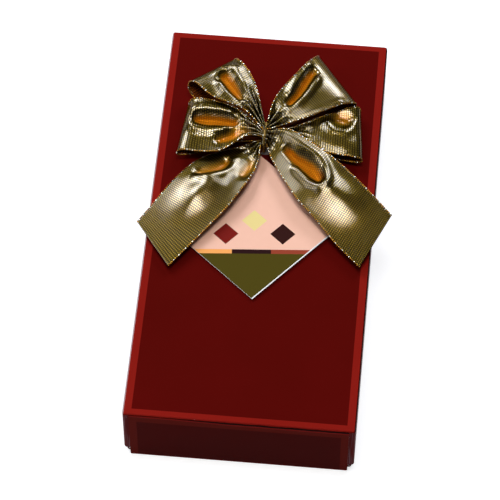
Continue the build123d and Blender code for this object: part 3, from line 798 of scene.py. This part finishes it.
def fold_height(surface, folds):
    """How far the cloth stands out of its smooth surface at each point of its grid."""
    last = len(surface) - 1
    height = numpy.zeros(surface.shape[:2])
    for rise, points in folds:
        most = numpy.zeros(surface.shape[:2])
        for before, after in zip(points, points[1:]):
            for part in range(fold_parts + 1):
                point = [a + (b - a) * part / fold_parts for a, b in zip(before, after)]
                row, share, spread, *level = point
                here = surface[min(round(row * row_steps), last), round(share * across_steps)]
                distance = numpy.linalg.norm(surface - here, axis=2) / (spread * ribbon_width)
                most = numpy.maximum(most, (level or [1])[0] * numpy.exp(-distance ** 2))
        height += rise * most
    for _ in range(fold_smoothing):
        wide = numpy.pad(height, 1, mode="edge")
        beside = wide[:-2, 1:-1] + wide[2:, 1:-1] + wide[1:-1, :-2] + wide[1:-1, 2:]
        height = (4 * height + beside) / 8
    return height


def ribbon_grid(shares, side, folds, phase):
    """Points of one ribbon length, row by row: pleated where it is drawn together, with its own folds.
    Also gives how far each point lies in a hollow, which sets the painted glow and shade of its colour."""
    count = (len(shares) - 1) * row_steps + 1
    rows = numpy.array([row_at(shares, number / row_steps) for number in range(count)])
    start = numpy.array((bow_x + side * bundle_half, bow_y, bow_z))
    left, right = start + rows[:, :3] * ribbon_width, start + rows[:, 3:] * ribbon_width
    across = right - left
    steps = numpy.linspace(0, 1, across_steps + 1)
    surface = left[:, None] + across[:, None] * steps[None, :, None]
    out = numpy.cross(numpy.gradient((left + right) / 2, axis=0), across) * -side
    out /= numpy.linalg.norm(out, axis=1)[:, None]
    # The narrower a row is, the more cloth it has to spare, which stands up in pleats
    chord = numpy.linalg.norm(across, axis=1) / ribbon_width
    drawn = smooth_step(drawn_most - drawn_fall * chord)
    spare = numpy.sqrt(numpy.clip(1 - chord ** 2, 0, 1)) * ribbon_width
    limit = pleat_limit + chord * ribbon_width * pleat_growth
    amplitude = numpy.minimum(spare / (4 * pleat_count) * drawn, limit)
    sway = amplitude[:, None] * numpy.sin(2 * math.pi * (pleat_count * steps[None, :] + phase))
    spread_out = numpy.clip(chord * fold_growth - fold_delay, 0, 1)[:, None]
    folded = fold_height(surface, folds) * spread_out
    grid = surface + out[:, None] * (sway + folded)[..., None]
    sunk = -(folded + hollow_pleat_share * sway + hollow_start)
    hollow = numpy.clip(sunk / hollow_depth, 0, 1)
    # The back layers of a loop take the full painted glow and shade of a hollow
    if len(shares) > loop_back_row:
        hollow[loop_back_row * row_steps:] = 1
    return [[Vector(point) for point in row] for row in grid], hollow.ravel()


def arc_lengths(points):
    """Distance of each point from the first, along the line through them."""
    lengths = [0]
    for before, point in zip(points, points[1:]):
        lengths.append(lengths[-1] + (point - before).length)
    return lengths


def tube_faces(rings, sides, closed):
    """Faces over rings of points, closed into a loop or capped at both ends."""
    total = rings * sides
    faces = []
    for ring in range(rings if closed else rings - 1):
        for corner in range(sides):
            here = ring * sides + corner
            beside = ring * sides + (corner + 1) % sides
            faces.append((here, beside, (beside + sides) % total, (here + sides) % total))
    if not closed:
        faces += [tuple(reversed(range(sides))), tuple(range(total - sides, total))]
    return faces


def mesh_object(name, points, faces, material, uvs=None, hollow=None):
    """Smooth mesh piece. Its UV map, named weave, has a metre of cloth for its unit."""
    mesh = bpy.data.meshes.new(name)
    mesh.from_pydata(points, [], faces)
    if uvs:
        layer = mesh.uv_layers.new(name="weave")
        for loop in mesh.loops:
            layer.data[loop.index].uv = uvs[loop.vertex_index]
    if hollow is not None:
        mesh.attributes.new("hollow", "FLOAT", "POINT").data.foreach_set("value", hollow)
    mesh.polygons.foreach_set("use_smooth", [True] * len(mesh.polygons))
    mesh.update()
    piece = bpy.data.objects.new(name, mesh)
    bpy.context.collection.objects.link(piece)
    dress([piece], material)
    return piece


def ribbon_piece(name, grid, hollow, front, reverse, flip):
    """Ribbon cloth over a grid of points, given its thickness and its duller reverse."""
    wide = len(grid[0])
    middle_lengths = arc_lengths([row[wide // 2] for row in grid])
    points = [point for row in grid for point in row]
    uvs = [(ribbon_width * step / (wide - 1), length)
           for length in middle_lengths for step in range(wide)]
    faces = []
    for row in range(len(grid) - 1):
        for step in range(wide - 1):
            here = row * wide + step
            face = (here, here + wide, here + wide + 1, here + 1)
            faces.append(face[::-1] if flip else face)
    piece = mesh_object(name, points, faces, front, uvs, hollow)
    piece.data.materials.append(reverse)
    solidify = piece.modifiers.new("gauge", "SOLIDIFY")
    solidify.thickness = ribbon_gauge
    solidify.offset = 0
    solidify.material_offset = 1
    return piece


def edging_piece(name, line, material):
    """Beaded tube along one edge of a ribbon."""
    lengths = arc_lengths(line)
    count = int(lengths[-1] / bead_pitch) * edge_rings_per_bead
    points, uvs = [], []
    at = 0
    for ring in range(count + 1):
        length = lengths[-1] * ring / count
        while at < len(line) - 2 and lengths[at + 1] < length:
            at += 1
        step = (length - lengths[at]) / (lengths[at + 1] - lengths[at])
        centre = line[at].lerp(line[at + 1], step)
        along = (line[min(at + 2, len(line) - 1)] - line[max(at - 1, 0)]).normalized()
        side = along.cross(Vector(edging_rise)).normalized()
        up = side.cross(along)
        swell = math.sin(math.pi * ring / edge_rings_per_bead) ** 2
        radius = edge_radius + edge_swell * swell
        for corner in range(edge_sides):
            angle = 2 * math.pi * corner / edge_sides
            points.append(centre + (side * math.cos(angle) + up * math.sin(angle)) * radius)
            uvs.append((corner * edge_radius, length))
    return mesh_object(name, points, tube_faces(count + 1, edge_sides, False), material, uvs)


def make_bow():
    """Four loops and two tails of ribbon, each with an edging along both its sides."""
    cloth = metallised_ribbon("metallised_weave", *front_finish)
    reverse = metallised_ribbon("metallised_weave_reverse", *reverse_finish)
    wrapped = beaded_edging()
    lengths = [
        ("upper_left_loop", upper_left_shares, -1, upper_left_folds, 0.1),
        ("lower_left_loop", lower_left_shares, -1, lower_left_folds, 0.45),
        ("upper_right_loop", upper_right_shares, 1, upper_right_folds, 0.2),
        ("lower_right_loop", lower_right_shares, 1, lower_right_folds, 0.6),
        ("left_tail", left_tail_shares, -1, left_tail_folds, 0.3),
        ("right_tail", right_tail_shares, 1, right_tail_folds, 0.0),
    ]
    for name, shares, side, folds, phase in lengths:
        grid, hollow = ribbon_grid(shares, side, folds, phase)
        ribbon = ribbon_piece(name + "_ribbon", grid, hollow, cloth, reverse, side > 0)
        edges = [edging_piece(name + "_left_edging", [row[0] for row in grid], wrapped),
                 edging_piece(name + "_right_edging", [row[-1] for row in grid], wrapped)]
        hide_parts(name)
        for piece in [ribbon] + edges:
            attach(piece, "lid")


def ring_point(angle, offset):
    """Point round the gathered centre, seen along X, at an offset outwards."""
    half_y = (bundle_high.y - bundle_low.y) / 2 + offset
    half_z = (bundle_high.z - bundle_low.z) / 2 + offset
    power = 2 / ring_power
    cosine, sine = math.cos(angle), math.sin(angle)
    return (math.copysign(abs(cosine) ** power, cosine) * half_y,
            math.copysign(abs(sine) ** power, sine) * half_z)


def make_tie():
    """Two strands laid round each other and wound once round the ribbon."""
    yarn = twisted_cord()
    for strand in range(2):
        points, uvs = [], []
        for ring in range(strand_rings):
            share = ring / strand_rings
            angle = 2 * math.pi * share
            lay = 2 * math.pi * (strand_twists * share + strand / 2)
            offset = strand_offset * math.cos(lay) + strand_clearance
            y, z = ring_point(angle, offset)
            before = ring_point(angle - ring_step, offset)
            after = ring_point(angle + ring_step, offset)
            along = Vector((0, after[0] - before[0], after[1] - before[1])).normalized()
            out = along.cross(Vector((1, 0, 0)))
            middle = bundle_centre + Vector((strand_offset * math.sin(lay), y, z))
            for corner in range(strand_sides):
                turn = 2 * math.pi * corner / strand_sides
                arm = Vector((1, 0, 0)) * math.cos(turn) + out * math.sin(turn)
                points.append(middle + arm * strand_radius)
                uvs.append((corner * strand_radius, share * ring_length))
        faces = tube_faces(strand_rings, strand_sides, True)
        piece = mesh_object(f"tie_cord_strand_{strand + 1}", points, faces, yarn, uvs)
        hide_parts("tie_cord")
        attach(piece, "lid")


def make_gathered_centre():
    """Pleated middle of the bow inside the tie, drawn in a little under the cord."""
    cloth = metallised_ribbon("gathered_weave", *front_finish)
    points, uvs = [], []
    for slice_number in range(centre_slices):
        across = (slice_number / (centre_slices - 1) * 2 - 1) * bundle_half
        for step in range(centre_steps):
            angle = 2 * math.pi * step / centre_steps
            y, z = ring_point(angle, 0.0)
            scale = centre_share + centre_pleat_share * math.cos(angle * centre_pleats)
            points.append(bundle_centre + Vector((across, y * scale, z * scale)))
            uvs.append((step / centre_steps * ribbon_width, across))
    faces = tube_faces(centre_slices, centre_steps, False)
    piece = mesh_object("gathered_ribbon", points, faces, cloth, uvs)
    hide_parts("gathered_centre")
    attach(piece, "lid")


# Cushion pad

def make_cushion():
    """Quilted paper pad: soft cells between pressed channels, thinner at its rounded rim."""
    middle = (pad_low + pad_high) / 2
    half_x, half_y, half_z = (pad_high - pad_low) / 2
    points, faces = [], []
    for layer in (1, -1):
        for row in range(pad_steps_y + 1):
            for step in range(pad_steps_x + 1):
                x = (step / pad_steps_x * 2 - 1) * half_x
                y = (row / pad_steps_y * 2 - 1) * half_y
                inward = min((half_x - abs(x)) / pad_rim, (half_y - abs(y)) / pad_rim, 1)
                rim = math.sqrt(inward * (2 - inward))
                channel = 1
                for turned in (x + y, x - y):
                    off = abs((turned / pad_cell) % 1 - 0.5) * pad_cell
                    eased = smooth_step(off / pad_channel)
                    channel *= eased * (1 - pad_channel_share) + pad_channel_share
                thickness = rim * (pad_core_share + (1 - pad_core_share) * channel)
                points.append(middle + Vector((x, y, layer * half_z * thickness)))
    wide = pad_steps_x + 1
    size = wide * (pad_steps_y + 1)
    for layer in range(2):
        for row in range(pad_steps_y):
            for step in range(pad_steps_x):
                here = layer * size + row * wide + step
                face = (here, here + 1, here + 1 + wide, here + wide)
                faces.append(face if layer == 0 else face[::-1])
    piece = mesh_object("quilted_pad", points, faces, crepe_paper())
    edit = bmesh.new()
    edit.from_mesh(piece.data)
    bmesh.ops.remove_doubles(edit, verts=edit.verts, dist=merge_distance)
    bmesh.ops.recalc_face_normals(edit, faces=edit.faces)
    edit.to_mesh(piece.data)
    edit.free()
    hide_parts("cushion_pad")
    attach(piece, "cushion_pad")


def dress_frame():
    """Finishes of the pieces that keep their own shape."""
    dress([nodes["lid"]], laminated_board("laminated_lid_board", lid_top, lid_top - lid_low.z,
                                          lid_high.x, lid_high.y, True))
    base_low, base_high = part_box("base")
    dress([nodes["base"]], laminated_board("laminated_base_board", base_low.z,
                                           base_high.z - base_low.z, base_high.x, base_high.y, False))
    dress([nodes["label_card"]], printed_card())
    dress([nodes["label_foam_dots"], nodes["bow_adhesive_dot"]], foam())
    dress([nodes["lid_corner_glue"], nodes["base_corner_glue"]], dry_glue())
    dress([nodes["tray"]], thermoformed_tray())
    dark = chocolate("dark_chocolate", "#3d1f14", "#2a130c")
    milk = chocolate("milk_chocolate", "#7a4526", "#653619")
    white = chocolate("white_chocolate", "#efdcae", "#e4cb94")
    ruby = chocolate("ruby_chocolate", "#7a3038", "#64242c")
    finishes = {"square": dark, "dome": milk, "oval": white, "heart": ruby, "log": milk,
                "hexagon": dark}
    for name, piece in nodes.items():
        if "_praline_" in name:
            dress([piece], finishes[name.split("_")[0]])


make_camera()
make_world()
make_floor()
for lamp_name, settings in lamps.items():
    make_lamp(lamp_name, *settings)
dress_frame()
make_cushion()
make_bow()
make_tie()
make_gathered_centre()
